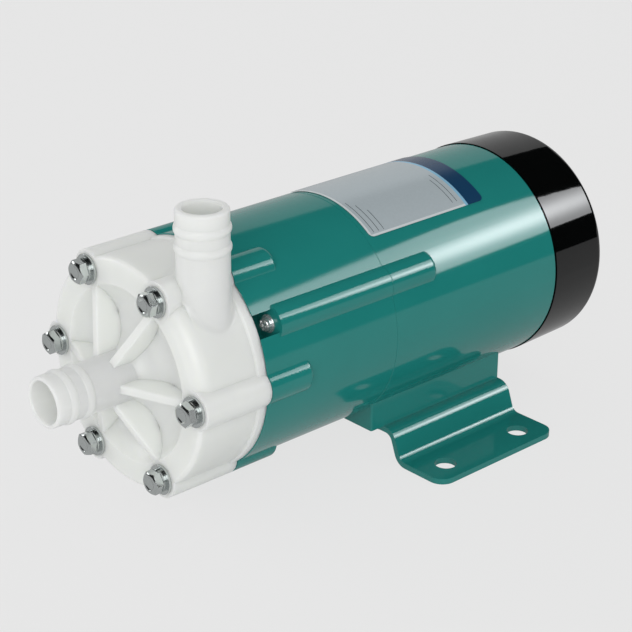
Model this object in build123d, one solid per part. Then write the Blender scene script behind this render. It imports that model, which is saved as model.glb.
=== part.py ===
from build123d import *
import math
import os

# Magnetic drive pump with a plastic wet end and an aluminium motor on a steel foot.
# Millimetres. +X runs along the shaft towards the suction pipe, +Y to the right of
# someone facing the suction pipe, +Z up. The origin is the centre of the four foot
# holes on the underside of the foot. Angles run from +Y towards +Z about the shaft.

# Foot and overall lengths along the shaft
motor_radius = 44.7
foot_height = 14.0
foot_hole_spacing_x = 41.5
foot_hole_radius = 4.3
foot_hole_inset = 9.85
seam_x = 39.6
bracket_length = 64.0
casing_depth = 29.5
suction_reach = 35.3
shell_length = 89.3
cover_gap = 0.6
cover_length = 29.3

# Clearances
slip_fit = 0.03
running_fit = 0.05
running_gap = 0.3

# Front casing
casing_step = 1.2
casing_flange_step = 0.4
casing_flange_width = 3.4
casing_edge_radius = 1.6
shoulder_radius = 6.0
bolt_inset = 4.7
bolt_count = 6
boss_radius = 7.3
boss_end_radius = 0.8
dish_inset = 6.4
dish_depth = 5.3
dish_rise = 1.4
rib_width = 3.4
rib_crest_radius = 0.6
rib_rise = 9.6
rib_foot_inset = 0.6
casing_wall = 2.7

# Hose connections
pipe_radius = 9.6
hose_ridge_height = 0.6
hose_ridge_length = 3.4
first_ridge_distance = 7.2
second_ridge_distance = 14.2
pipe_lip_radius = 1.0
suction_bore_radius = 8.0
suction_mouth_flare = 0.6
discharge_bore_radius = 6.9
discharge_mouth_flare = 0.5
discharge_set_back = 16.0
discharge_inset = 1.1
discharge_height = 67.2
discharge_bore_start = 9.0
discharge_blend_radius = 4.0

# Volute chamber, suction mouth and spindle support
chamber_depth = 14.0
volute_inset = 2.6
volute_growth = 5.8
mouth_bore_radius = 13.6
mouth_depth = 3.2
spider_hub_radius = 5.2
spider_hub_length = 7.5
spider_vane_width = 1.6
spider_vane_count = 3
spindle_radius = 3.5
spindle_seat_depth = 6.0
thrust_washer_thickness = 1.5
thrust_washer_radius = 6.2

# Rear casing, the closed can between the two magnets
can_flange_inset = 4.0
can_flange_thickness = 5.0
can_wall = 1.6
can_depth = 36.0
can_end_wall = 3.0
can_boss_radius = 7.0
can_boss_length = 4.0
o_ring_radius = 1.15
o_ring_groove_width = 3.0

# Impeller and driven magnet
cutwater_gap = 2.6
impeller_neck_radius = 11.7
impeller_eye_radius = 10.1
impeller_shroud = 2.0
impeller_passage = 6.0
impeller_hub_radius = 7.6
impeller_stub_radius = 12.0
impeller_stub_length = 2.4
vane_count = 6
vane_thickness = 1.8
vane_sweep = 52.0
vane_root_radius = 9.0
bush_radius = 6.0
capsule_gap = 1.0
capsule_length = 29.0
capsule_wall = 1.5
capsule_core_radius = 9.8
mouth_ring_wall = 1.5

# Drive magnet on the motor shaft
can_air_gap = 0.8
magnet_thickness = 4.0
magnet_length = 20.0
magnet_count = 8
magnet_spacing_degrees = 3.0
yoke_gap = 1.7
yoke_thickness = 4.0
yoke_floor = 4.2
yoke_hub_radius = 11.0
yoke_hub_length = 4.8
set_screw_radius = 2.0

# Front bracket
bracket_wall = 4.5
bracket_ring_length = 11.0
can_seat_width = 3.1
bracket_spigot_length = 2.5
bracket_boss_length = 20.0
rib_end_radius = 1.8
tie_screw_inset = 4.7
tie_screw_count = 3
tie_screw_start_angle = 30.0
tie_boss_radius = 7.3
tie_pocket_radius = 6.3
tie_pocket_depth = 9.0
tie_boss_overrun = 23.5
web_thickness = 5.0
web_set_back = 42.0
bearing_lip = 1.5
bearing_lip_radius = 10.0
bearing_housing_wall = 4.0
register_length = 3.0
register_wall = 2.2
seam_edge = 0.2

# Motor shell, pedestal and foot plate
shell_wall = 7.6
shell_end_wall = 5.0
cover_spigot_length = 3.0
cover_spigot_wall = 2.5
pedestal_half_width = 31.4
pedestal_rear_x = -33.0
pedestal_edge_radius = 0.8
pedestal_rise = 1.2
foot_plate_thickness = 2.3
foot_plate_half_length = 32.8
foot_plate_half_width = 63.6
foot_bend_top = 35.8
foot_bend_bottom = 40.1
foot_bend_radius = 4.8
foot_corner_radius = 6.0

# Motor inside
shaft_radius = 6.0
bearing_outer_radius = 16.0
bearing_width = 10.0
bearing_ring = 2.8
bearing_shield = 0.8
front_bearing_set_back = 43.5
core_set_back = 9.5
core_length = 54.0
slot_count = 24
slot_depth = 9.0
slot_width = 3.4
air_gap = 0.5
stator_depth = 13.9
end_turn_length = 12.5
end_turn_inset = 2.8
end_ring_length = 4.0
end_ring_width = 8.2
end_ring_inset = 0.5
wave_washer_thickness = 0.5
shaft_rear_overhang = 20.0

# Fan, fan cover and cable bush
cover_step = 0.4
cover_draft = 0.6
cover_wall = 2.2
cover_edge_radius = 3.0
cover_slot_count = 18
cover_slot_width = 2.8
cover_slot_inner = 13.0
cover_post_inset = 8.9
cover_post_radius = 3.8
fan_inset = 14.1
fan_hub_radius = 10.0
fan_blade_count = 8
fan_blade_thickness = 1.6
fan_width = 12.0
fan_disc = 1.5
fan_set_back = 4.2
clip_thickness = 1.0
clip_groove_depth = 0.6
bush_angle = 200.0
bush_x = -37.0
bush_hole_radius = 6.0
bush_bore_radius = 3.6
bush_flange_radius = 8.5
bush_flange_thickness = 2.0
bush_tail_length = 8.0

# Fasteners
m5_radius = 2.5
m5_clearance_radius = 2.75
m5_head_flats = 8.0
m5_head_height = 3.5
m5_thread_depth = 15.0
flat_washer_radius = 5.7
flat_washer_thickness = 1.0
spring_washer_radius = 4.4
spring_washer_thickness = 1.3
spring_washer_slit = 0.9
m4_radius = 2.0
m4_clearance_radius = 2.15
m4_head_radius = 3.8
m4_head_height = 2.6
m4_washer_radius = 3.7
m4_washer_thickness = 0.9
tie_screw_grip = 7.5
base_screw_x = 22.0
base_screw_y = 22.0
base_screw_depth = 8.0
cross_recess_width = 1.0
cross_recess_depth = 1.4
cross_recess_length = 4.2

# Radii about the shaft, heights and hole spacing, worked out from the values above
casing_radius = motor_radius - casing_step
casing_flange_radius = motor_radius - casing_flange_step
bolt_circle_radius = motor_radius - bolt_inset
tie_screw_circle_radius = motor_radius - tie_screw_inset
dish_outer_radius = bolt_circle_radius - dish_inset
dish_middle_radius = (dish_outer_radius + pipe_radius) / 2
rib_foot_radius = dish_outer_radius - rib_foot_inset
can_flange_radius = bolt_circle_radius - can_flange_inset
bracket_ring_radius = can_flange_radius - can_seat_width
yoke_radius = bracket_ring_radius - yoke_gap
magnet_outer_radius = yoke_radius - yoke_thickness
magnet_inner_radius = magnet_outer_radius - magnet_thickness
can_outer_radius = magnet_inner_radius - can_air_gap
can_inner_radius = can_outer_radius - can_wall
capsule_radius = can_inner_radius - capsule_gap
volute_end_radius = can_flange_radius - volute_inset
volute_start_radius = volute_end_radius - volute_growth
impeller_radius = volute_start_radius - cutwater_gap
discharge_offset = volute_start_radius - discharge_inset
bore_radius = motor_radius - shell_wall
core_inner_radius = bore_radius - stator_depth
rotor_radius = core_inner_radius - air_gap
end_turn_radius = bore_radius - end_turn_inset
end_ring_radius = rotor_radius - end_ring_inset
end_ring_inner_radius = end_ring_radius - end_ring_width
cover_radius = motor_radius + cover_step
cover_post_circle_radius = cover_radius - cover_post_inset
fan_radius = cover_radius - fan_inset
pedestal_drop = motor_radius - pedestal_rise
shaft_height = pedestal_drop + foot_height
foot_hole_spacing_y = 2 * (foot_plate_half_width - foot_hole_inset)

# Stations along the shaft, worked out from the lengths above
bracket_front_x = seam_x + bracket_length
casing_front_x = bracket_front_x + casing_depth
tie_seat_x = bracket_front_x - tie_pocket_depth
suction_tip_x = casing_front_x + suction_reach
shell_rear_x = seam_x - shell_length
cover_front_x = shell_rear_x - cover_gap
cover_rear_x = cover_front_x - cover_length
chamber_front_x = casing_front_x - dish_depth - casing_wall
can_flange_x = chamber_front_x - chamber_depth
can_flange_rear_x = can_flange_x - can_flange_thickness
can_end_x = can_flange_x - can_depth
can_rear_x = can_end_x - can_end_wall
can_boss_front_x = can_end_x + can_boss_length
hub_rear_x = chamber_front_x + mouth_depth - 1.5
spindle_front_x = hub_rear_x + spindle_seat_depth
spindle_rear_x = can_end_x - can_end_wall / 2
yoke_front_x = bracket_front_x - bracket_spigot_length + 0.5
yoke_floor_x = can_rear_x - can_air_gap
yoke_rear_x = yoke_floor_x - yoke_floor - yoke_hub_length
front_bearing_x = bracket_front_x - front_bearing_set_back
web_front_x = bracket_front_x - web_set_back
core_front_x = seam_x - core_set_back
core_rear_x = core_front_x - core_length
rear_seat_x = shell_rear_x + bearing_lip
rear_bearing_x = rear_seat_x + wave_washer_thickness + bearing_width
shaft_front_x = yoke_floor_x - 0.6
shaft_rear_x = shell_rear_x - shaft_rear_overhang
fan_front_x = shell_rear_x - fan_set_back
bush_seat_x = hub_rear_x - thrust_washer_thickness - running_gap
impeller_front_x = chamber_front_x + mouth_depth - 0.6
front_shroud_x = chamber_front_x - 2.6
back_shroud_x = front_shroud_x - impeller_shroud - impeller_passage
capsule_front_x = back_shroud_x - impeller_shroud - impeller_stub_length
capsule_rear_x = capsule_front_x - capsule_length
cap_thickness = capsule_wall


def place(angle, radius):
    """Y and Z of a point at an angle and a radius about the shaft."""
    turn = math.radians(angle)
    return radius * math.cos(turn), radius * math.sin(turn)


def spread(count, start=0.0):
    """Equally spaced angles about the shaft, in degrees."""
    return [start + 360.0 * step / count for step in range(count)]


def turned(*profile):
    """A solid of revolution about the shaft from (x, radius) corners."""
    return revolve(Polygon(*profile, align=None), axis=Axis.X)


def ring(x_front, x_rear, outer, inner):
    """A plain ring or sleeve about the shaft."""
    return turned((x_rear, inner), (x_front, inner), (x_front, outer), (x_rear, outer))


def rod(x_front, x_rear, radius, y=0.0, z=0.0):
    """A round bar parallel to the shaft."""
    length = x_front - x_rear
    bar = Cylinder(radius, length, align=(Align.CENTER, Align.CENTER, Align.MIN))
    return Pos(x_rear, y, z) * Rot(0, 90, 0) * bar


def slab(x_front, x_rear, y_low, y_high, z_low, z_high):
    """A rectangular block between the given limits."""
    size = Box(x_front - x_rear, y_high - y_low, z_high - z_low, align=Align.MIN)
    return Pos(x_rear, y_low, z_low) * size


def round_end(bar, end, radius):
    """Round the circular edge at one end of a bar: end is -1 for the rear, 0 for the lowest."""
    edge = bar.edges().filter_by(GeomType.CIRCLE).sort_by(Axis.X)[end]
    return fillet(edge, radius)


def break_end(bar, end):
    """Chamfer the circular edge of a bar that meets another casting: end is -1 or 0 as above."""
    edge = bar.edges().filter_by(GeomType.CIRCLE).sort_by(Axis.X)[end]
    return chamfer(edge, seam_edge)


def at_angles(piece, angles):
    """Copies of one piece turned about the shaft."""
    return [Rot(angle, 0, 0) * piece for angle in angles]


def hex_screw(seat_x, length, y, z):
    """Hexagon screw whose head stands forward of its seat."""
    head_plane = Plane.YZ.offset(seat_x)
    hexagon = RegularPolygon(m5_head_flats / 2, 6, major_radius=False)
    head = extrude(head_plane * Pos(y, z) * hexagon, m5_head_height)
    return head + rod(seat_x, seat_x - length, m5_radius, y, z)


def split_washer(seat_x, y, z, outer, inner, thickness):
    """Spring lock washer with its slit."""
    washer = rod(seat_x + thickness, seat_x, outer, y, z)
    washer -= rod(seat_x + thickness, seat_x, inner, y, z)
    half_slit = spring_washer_slit / 2
    slit = slab(seat_x + thickness, seat_x, y - half_slit, y + half_slit, z, z + outer)
    return washer - slit


def pan_screw(seat_x, length, y, z):
    """Cross-recess pan head screw whose head stands forward of its seat."""
    head = round_end(rod(seat_x + m4_head_height, seat_x, m4_head_radius, y, z), -1, 1.2)
    recess_x = seat_x + m4_head_height - cross_recess_depth
    half_width = cross_recess_width / 2
    half_length = cross_recess_length / 2
    top_x = seat_x + m4_head_height
    head -= slab(top_x, recess_x, y - half_width, y + half_width, z - half_length, z + half_length)
    head -= slab(top_x, recess_x, y - half_length, y + half_length, z - half_width, z + half_width)
    return head + rod(seat_x, seat_x - length, m4_radius, y, z)


def hose_tail(tip, root):
    """A hose tail turned about the X axis: plain tip with a round lip, then two round ridges."""
    half = hose_ridge_length / 2
    corners = [(tip, 0), (tip, pipe_radius)]
    edges = []
    for distance in (first_ridge_distance, second_ridge_distance):
        crest = tip - distance
        start = (crest + half, pipe_radius)
        end = (crest - half, pipe_radius)
        edges.append(Line(corners[-1], start))
        edges.append(ThreePointArc(start, (crest, pipe_radius + hose_ridge_height), end))
        corners.append(end)
    edges.append(Polyline(corners[-1], (root, pipe_radius), (root, 0), (tip, 0), (tip, pipe_radius)))
    outline = make_face(edges)
    lip = outline.vertices().sort_by_distance(Vector(tip, pipe_radius))[0]
    return revolve(fillet(lip, pipe_lip_radius), axis=Axis.X)


def volute_outline():
    """Spiral outline on the YZ plane: four arcs whose radius grows with the flow."""
    growth = volute_end_radius - volute_start_radius
    start = math.degrees(math.acos((discharge_offset - discharge_bore_radius) / volute_start_radius))
    edges = []
    steps = 4
    sweep = (360.0 - start) / steps

    def spot(angle):
        share = (angle - start) / (360.0 - start)
        return place(angle, volute_start_radius + growth * share)

    for step in range(steps):
        first = start + sweep * step
        arc = ThreePointArc(spot(first), spot(first + sweep / 2), spot(first + sweep))
        edges.append(arc)
    outlet = (volute_end_radius, discharge_bore_start)
    edges.append(Line(spot(360.0), outlet))
    edges.append(Line(outlet, spot(start)))
    return make_face(edges)


def front_casing():
    """Moulded front casing: volute, six bosses, ribs, suction pipe and discharge pipe."""
    front = casing_front_x
    rear = bracket_front_x
    flange_x = rear + casing_flange_width
    barrel = round_end(rod(front, rear, casing_radius), -1, casing_edge_radius) + discharge_pipe()
    casing = fillet(discharge_foot(barrel), discharge_blend_radius)
    casing += turned(
        (rear, 0),
        (rear, casing_flange_radius),
        (flange_x, casing_flange_radius),
        (flange_x + casing_flange_radius - casing_radius, casing_radius),
        (flange_x, 0),
    )
    casing -= shoulder_cut()
    casing += rod(front + dish_rise, front - dish_rise, dish_outer_radius)
    casing -= dish_cut()

    angles = spread(bolt_count)
    boss = round_end(rod(front, rear, boss_radius, bolt_circle_radius), 0, boss_end_radius)
    casing += at_angles(boss, angles)
    casing += at_angles(casing_rib(), angles)

    casing += hose_tail(suction_tip_x, front - dish_depth)

    casing -= extrude(Plane.YZ.offset(can_flange_x) * volute_outline(), chamber_depth)
    casing -= rod(can_flange_x, rear, can_flange_radius + slip_fit)
    casing -= discharge_passage()
    casing -= suction_passage()
    casing -= at_angles(rod(front, rear, m5_clearance_radius, bolt_circle_radius), angles)
    return casing + spindle_spider()


def discharge_foot(barrel):
    """Edges where the upright pipe meets the round side of the barrel."""
    pipe_x = casing_front_x - discharge_set_back

    def on_both(edge):
        spots = [edge @ share for share in (0.1, 0.5, 0.9)]
        on_pipe = all(abs(math.hypot(p.X - pipe_x, p.Y - discharge_offset) - pipe_radius) < 0.02 for p in spots)
        return on_pipe and all(abs(math.hypot(p.Y, p.Z) - casing_radius) < 0.02 for p in spots)

    return [edge for edge in barrel.edges() if on_both(edge)]


def dish_cut():
    """Space in front of the dished face: an arc from the rim down and up to the suction pipe."""
    front = casing_front_x
    rim = (front, dish_outer_radius)
    throat = (front + dish_rise, pipe_radius)
    outline = make_face(
        [
            ThreePointArc(rim, (front - dish_depth, dish_middle_radius), throat),
            Polyline(throat, (front + dish_rise, dish_outer_radius), rim),
        ]
    )
    return revolve(outline, axis=Axis.X)


def shoulder_cut():
    """Large rounding of the rim between the first two bosses, where the volute swells."""
    front = casing_front_x
    middle = math.sqrt(0.5) * shoulder_radius
    inner = casing_radius - shoulder_radius
    low = (front, inner)
    side = (front - shoulder_radius, casing_radius)
    round_spot = (front - shoulder_radius + middle, inner + middle)
    outline = make_face(
        [
            ThreePointArc(low, round_spot, side),
            Polyline(side, (side[0], casing_radius + 1.0), (front + 1.0, casing_radius + 1.0), (front + 1.0, inner), low),
        ]
    )
    return revolve(outline, axis=Axis.X, revolution_arc=360.0 / bolt_count)


def casing_rib():
    """One gusset from the suction pipe down to a bolt boss, with a rounded crest."""
    front = casing_front_x
    side = Polygon(
        (front - dish_depth, pipe_radius - 1.5),
        (front + rib_rise, pipe_radius - 1.5),
        (front, rib_foot_radius),
        (front - dish_depth, rib_foot_radius),
        align=None,
    )
    rib = extrude(side, rib_width / 2, both=True)
    crest = [edge for edge in rib.edges() if edge.length > 20 and edge.center().X > front]
    return fillet(crest, rib_crest_radius)


def discharge_pipe():
    """Upright hose tail rising from the side of the volute."""
    upright = Rot(0, -90, 0) * hose_tail(discharge_height, 0)
    return Pos(casing_front_x - discharge_set_back, discharge_offset, 0) * upright


def discharge_passage():
    """Bore of the discharge pipe with its flared mouth."""
    flare = discharge_mouth_flare
    radius = discharge_bore_radius
    profile = Polygon(
        (discharge_bore_start, 0),
        (discharge_bore_start, radius),
        (discharge_height - flare, radius),
        (discharge_height, radius + flare),
        (discharge_height, 0),
        align=None,
    )
    upright = Rot(0, -90, 0) * revolve(profile, axis=Axis.X)
    return Pos(casing_front_x - discharge_set_back, discharge_offset, 0) * upright


def suction_passage():
    """Bore of the suction pipe, the wider spider section and the mouth ring seat."""
    flare = suction_mouth_flare
    mouth_x = chamber_front_x + mouth_depth
    return turned(
        (chamber_front_x, 0),
        (chamber_front_x, mouth_bore_radius),
        (mouth_x, mouth_bore_radius),
        (mouth_x, suction_bore_radius),
        (suction_tip_x - flare, suction_bore_radius),
        (suction_tip_x, suction_bore_radius + flare),
        (suction_tip_x, 0),
    )


def spindle_spider():
    """Three vanes in the suction bore that hold the front end of the spindle."""
    hub_front_x = hub_rear_x + spider_hub_length
    hub = round_end(rod(hub_front_x, hub_rear_x, spider_hub_radius), -1, 2.0)
    half_width = spider_vane_width / 2
    vane = slab(hub_front_x - 1.5, hub_rear_x + 1.5, 1.0, suction_bore_radius + 0.4, -half_width, half_width)
    spider = hub + at_angles(vane, spread(spider_vane_count, 90.0))
    return spider - rod(spindle_front_x + 0.2, hub_rear_x, spindle_radius + slip_fit)


def mouth_ring():
    """Wear ring pressed into the casing around the impeller neck."""
    outer = mouth_bore_radius - slip_fit
    return ring(chamber_front_x + mouth_depth - slip_fit, chamber_front_x, outer, outer - mouth_ring_wall)


def casing_o_ring():
    """O-ring in the edge groove of the rear casing flange."""
    middle_x = can_flange_x - can_flange_thickness / 2
    section = Pos(middle_x, can_flange_radius - o_ring_radius) * Circle(o_ring_radius)
    return revolve(section, axis=Axis.X)


def rear_casing():
    """Closed can: flange with O-ring groove, thin wall and inner spindle socket."""
    groove_floor = can_flange_radius - 2 * o_ring_radius - slip_fit
    half_groove = o_ring_groove_width / 2
    middle_x = can_flange_x - can_flange_thickness / 2
    can = turned(
        (can_flange_x, can_inner_radius),
        (can_flange_x, can_flange_radius),
        (middle_x + half_groove, can_flange_radius),
        (middle_x + half_groove, groove_floor),
        (middle_x - half_groove, groove_floor),
        (middle_x - half_groove, can_flange_radius),
        (can_flange_rear_x, can_flange_radius),
        (can_flange_rear_x, can_outer_radius),
        (can_rear_x, can_outer_radius),
        (can_rear_x, 0),
        (can_end_x, 0),
        (can_end_x, can_inner_radius),
    )
    can += rod(can_boss_front_x, can_end_x, can_boss_radius)
    return can - rod(can_boss_front_x, spindle_rear_x, spindle_radius + slip_fit)


def spindle():
    """Fixed ceramic spindle that the impeller turns on."""
    return rod(spindle_front_x, spindle_rear_x + slip_fit, spindle_radius)


def thrust_washer(front_x):
    """Ceramic thrust washer on the spindle."""
    return ring(front_x, front_x - thrust_washer_thickness, thrust_washer_radius, spindle_radius + running_fit)


def impeller():
    """Closed impeller: neck, two shrouds and backward swept vanes."""
    passage_front = front_shroud_x - impeller_shroud
    wheel = turned(
        (impeller_front_x, impeller_eye_radius),
        (impeller_front_x, impeller_neck_radius),
        (chamber_front_x - 1.2, impeller_neck_radius),
        (front_shroud_x, impeller_radius),
        (passage_front, impeller_radius),
        (chamber_front_x - 3.2, impeller_eye_radius),
    )
    disc_rear = back_shroud_x - impeller_shroud
    wheel += turned(
        (capsule_front_x, bush_radius + slip_fit),
        (chamber_front_x - 1.0, bush_radius + slip_fit),
        (chamber_front_x - 1.0, impeller_hub_radius),
        (back_shroud_x + 1.0, impeller_hub_radius + 1.0),
        (back_shroud_x, impeller_hub_radius + 3.0),
        (back_shroud_x, impeller_radius),
        (disc_rear, impeller_radius),
        (disc_rear, impeller_stub_radius),
        (capsule_front_x, impeller_stub_radius),
    )
    vane = extrude(Plane.YZ.offset(back_shroud_x - 0.5) * vane_outline(), impeller_passage + 1.0)
    return wheel + at_angles(vane, spread(vane_count))


def vane_outline():
    """One vane between two arcs: it leans back against the turning direction as it goes out."""
    middle_radius = (vane_root_radius + impeller_radius) / 2

    def face_arc(offset):
        points = []
        for radius, lean in ((vane_root_radius, 0.0), (middle_radius, 0.42), (impeller_radius, 1.0)):
            shift = math.degrees(offset / radius)
            points.append(place(shift - vane_sweep * lean, radius))
        return points

    leading = face_arc(vane_thickness / 2)
    trailing = face_arc(-vane_thickness / 2)
    return make_face(
        [
            ThreePointArc(*leading),
            Line(leading[2], trailing[2]),
            ThreePointArc(*reversed(trailing)),
            Line(trailing[0], leading[0]),
        ]
    )


def impeller_bush():
    """Carbon bush that runs on the spindle."""
    return ring(bush_seat_x, capsule_rear_x, bush_radius, spindle_radius + running_fit)


def magnet_capsule():
    """Plastic cup that holds the driven magnet, open at the rear."""
    cap_x = capsule_rear_x + cap_thickness
    return turned(
        (capsule_front_x, bush_radius + slip_fit),
        (capsule_front_x, capsule_radius),
        (cap_x, capsule_radius),
        (cap_x, capsule_radius - capsule_wall),
        (capsule_front_x - capsule_wall, capsule_radius - capsule_wall),
        (capsule_front_x - capsule_wall, capsule_core_radius),
        (cap_x, capsule_core_radius),
        (cap_x, bush_radius + slip_fit),
    )


def capsule_cap():
    """Ring welded over the open end of the magnet capsule."""
    cap_x = capsule_rear_x + cap_thickness
    return ring(cap_x, capsule_rear_x, capsule_radius, bush_radius + slip_fit)


def driven_magnet():
    """Ring magnet sealed in the capsule."""
    front_x = capsule_front_x - capsule_wall
    outer = capsule_radius - capsule_wall - slip_fit
    return ring(front_x, capsule_rear_x + cap_thickness, outer, capsule_core_radius + slip_fit)


def drive_magnet_yoke():
    """Steel cup on the motor shaft that carries the drive magnets around the can."""
    floor_rear_x = yoke_floor_x - yoke_floor
    yoke = turned(
        (yoke_front_x, magnet_outer_radius),
        (yoke_front_x, yoke_radius),
        (floor_rear_x, yoke_radius),
        (floor_rear_x, yoke_hub_radius),
        (yoke_rear_x, yoke_hub_radius),
        (yoke_rear_x, shaft_radius + slip_fit),
        (yoke_floor_x, shaft_radius + slip_fit),
        (yoke_floor_x, magnet_outer_radius),
    )
    screw_x = floor_rear_x - yoke_hub_length / 2
    hole = Pos(screw_x, 0, 0) * Cylinder(
        set_screw_radius, yoke_hub_radius + 1, align=(Align.CENTER, Align.CENTER, Align.MIN)
    )
    return yoke - at_angles(hole, (0.0, 90.0))


def yoke_set_screws():
    """Two grub screws that lock the yoke to the shaft."""
    screw_x = yoke_floor_x - yoke_floor - yoke_hub_length / 2
    length = yoke_hub_radius - shaft_radius - 1.0
    screw = Cylinder(set_screw_radius - slip_fit, length, align=(Align.CENTER, Align.CENTER, Align.MIN))
    return at_angles(Pos(screw_x, 0, shaft_radius + slip_fit) * screw, (0.0, 90.0))


def drive_magnets():
    """Arc magnets bonded inside the yoke with a small space between them."""
    front_x = yoke_front_x - 2.0
    sweep = 360.0 / magnet_count - magnet_spacing_degrees
    outer = magnet_outer_radius - slip_fit
    corners = (front_x, magnet_inner_radius), (front_x, outer)
    rear_corners = (front_x - magnet_length, outer), (front_x - magnet_length, magnet_inner_radius)
    block = revolve(Polygon(*corners, *rear_corners, align=None), axis=Axis.X, revolution_arc=sweep)
    return at_angles(block, spread(magnet_count))


def front_bracket():
    """Cast bracket: clamps the can, houses the coupling and seats the front bearing."""
    cavity_radius = motor_radius - bracket_wall
    ring_rear_x = bracket_front_x - bracket_ring_length
    spigot_x = bracket_front_x + bracket_spigot_length
    seat_radius = bearing_outer_radius + slip_fit
    housing_radius = bearing_outer_radius + bearing_housing_wall
    housing_rear_x = front_bearing_x - bearing_width
    web_rear_x = web_front_x - web_thickness
    register_radius = bore_radius - slip_fit
    body = turned(
        (bracket_front_x, motor_radius),
        (seam_x + seam_edge, motor_radius),
        (seam_x, motor_radius - seam_edge),
        (seam_x, register_radius),
        (seam_x - register_length, register_radius),
        (seam_x - register_length, register_radius - register_wall),
        (seam_x + 4.0, register_radius - register_wall),
        (seam_x + 6.0, cavity_radius),
        (web_rear_x, cavity_radius),
        (web_rear_x, housing_radius),
        (housing_rear_x, housing_radius),
        (housing_rear_x, seat_radius),
        (front_bearing_x, seat_radius),
        (front_bearing_x, bearing_lip_radius),
        (web_front_x, bearing_lip_radius),
        (web_front_x, cavity_radius),
        (ring_rear_x, cavity_radius),
        (ring_rear_x, bracket_ring_radius),
        (spigot_x, bracket_ring_radius),
        (spigot_x, can_flange_radius),
        (bracket_front_x, can_flange_radius),
    )
    bolt_angles = spread(bolt_count)
    tie_angles = spread(tie_screw_count, tie_screw_start_angle)
    boss_end_x = bracket_front_x - bracket_boss_length
    boss = round_end(rod(bracket_front_x, boss_end_x, boss_radius, bolt_circle_radius), 0, rib_end_radius)
    body += at_angles(boss, bolt_angles)
    tie_boss = break_end(rod(tie_seat_x, seam_x, tie_boss_radius, tie_screw_circle_radius), 0)
    body += at_angles(tie_boss, tie_angles)
    body -= rod(seam_x + 6.0, seam_x - register_length, register_radius - register_wall)

    pocket = rod(bracket_front_x, tie_seat_x, tie_pocket_radius, tie_screw_circle_radius)
    body -= at_angles(pocket, tie_angles)
    body -= at_angles(rod(bracket_front_x, seam_x, m4_clearance_radius, tie_screw_circle_radius), tie_angles)
    thread = rod(bracket_front_x, bracket_front_x - m5_thread_depth, m5_radius + slip_fit, bolt_circle_radius)
    return body - at_angles(thread, bolt_angles)


def motor_shell():
    """Cast shell: stator bore, rear bearing seat, tie screw bosses and pedestal."""
    end_wall_x = shell_rear_x + shell_end_wall
    seat_radius = bearing_outer_radius + slip_fit
    housing_radius = bearing_outer_radius + bearing_housing_wall
    spigot_rear_x = shell_rear_x - cover_spigot_length
    spigot_radius = cover_radius - cover_wall - 0.2
    body = turned(
        (seam_x, bore_radius),
        (seam_x, motor_radius - seam_edge),
        (seam_x - seam_edge, motor_radius),
        (shell_rear_x, motor_radius),
        (shell_rear_x, spigot_radius),
        (spigot_rear_x, spigot_radius),
        (spigot_rear_x, spigot_radius - cover_spigot_wall),
        (shell_rear_x, spigot_radius - cover_spigot_wall),
        (shell_rear_x, bearing_lip_radius),
        (rear_seat_x, bearing_lip_radius),
        (rear_seat_x, seat_radius),
        (rear_bearing_x, seat_radius),
        (rear_bearing_x, housing_radius),
        (end_wall_x, housing_radius),
        (end_wall_x, bore_radius),
    )
    tie_angles = spread(tie_screw_count, tie_screw_start_angle)
    boss_rear_x = seam_x - tie_boss_overrun
    boss = round_end(rod(seam_x, boss_rear_x, tie_boss_radius, tie_screw_circle_radius), 0, rib_end_radius)
    body += at_angles(break_end(boss, -1), tie_angles)
    block = slab(seam_x, pedestal_rear_x, -pedestal_half_width, pedestal_half_width, -pedestal_drop, -bore_radius / 2)
    block = fillet(block.edges().filter_by(Axis.Z), pedestal_edge_radius)
    body += block
    body -= rod(seam_x, end_wall_x, bore_radius)
    under = -pedestal_drop
    body -= slab(seam_x, pedestal_rear_x, -motor_radius, motor_radius, under - 10.0, under)
    tie_hole = rod(seam_x, seam_x - tie_screw_grip - 2.0, m4_radius + slip_fit, tie_screw_circle_radius)
    body -= at_angles(tie_hole, tie_angles)
    for x, y in base_screw_spots():
        body -= Pos(x, y, under) * Cylinder(
            m5_radius + slip_fit, base_screw_depth + 1.0, align=(Align.CENTER, Align.CENTER, Align.MIN)
        )
    post_hole = rod(shell_rear_x + shell_end_wall - 1.0, shell_rear_x, m4_radius + slip_fit, cover_post_circle_radius)
    body -= at_angles(post_hole, cover_screw_angles())
    return body - bush_hole()


def base_screw_spots():
    """X and Y of the four screws that hold the foot plate to the pedestal."""
    return [(x, y) for x in (-base_screw_x, base_screw_x) for y in (-base_screw_y, base_screw_y)]


def cover_screw_angles():
    """Angles of the three fan cover screws."""
    return spread(3, 90.0)


def radial(piece):
    """Move a piece built up the Z axis to the cable bush: out of the shell, at its angle."""
    return Pos(bush_x, 0, 0) * Rot(bush_angle - 90.0, 0, 0) * piece


def bush_hole():
    """Round hole through the shell wall for the cable bush."""
    length = 20.0
    drill = Cylinder(bush_hole_radius, length, align=(Align.CENTER, Align.CENTER, Align.MIN))
    return radial(Pos(0, 0, motor_radius - length / 2) * drill)


def cable_bush():
    """Rubber bush in the cable hole, with its flange outside and a short tail."""
    neck = bush_hole_radius - slip_fit
    seat = motor_radius - 0.9
    outline = Polygon(
        (bush_bore_radius, bore_radius - 1.0),
        (neck, bore_radius - 1.0),
        (neck, seat),
        (neck, motor_radius + 0.2),
        (bush_flange_radius, motor_radius + 0.2),
        (bush_flange_radius, motor_radius + 0.2 + bush_flange_thickness),
        (bush_bore_radius + 2.2, motor_radius + 0.2 + bush_flange_thickness),
        (bush_bore_radius + 1.6, motor_radius + bush_tail_length),
        (bush_bore_radius, motor_radius + bush_tail_length),
        align=None,
    )
    return radial(revolve(Plane.XZ * outline, axis=Axis.Z))


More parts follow.
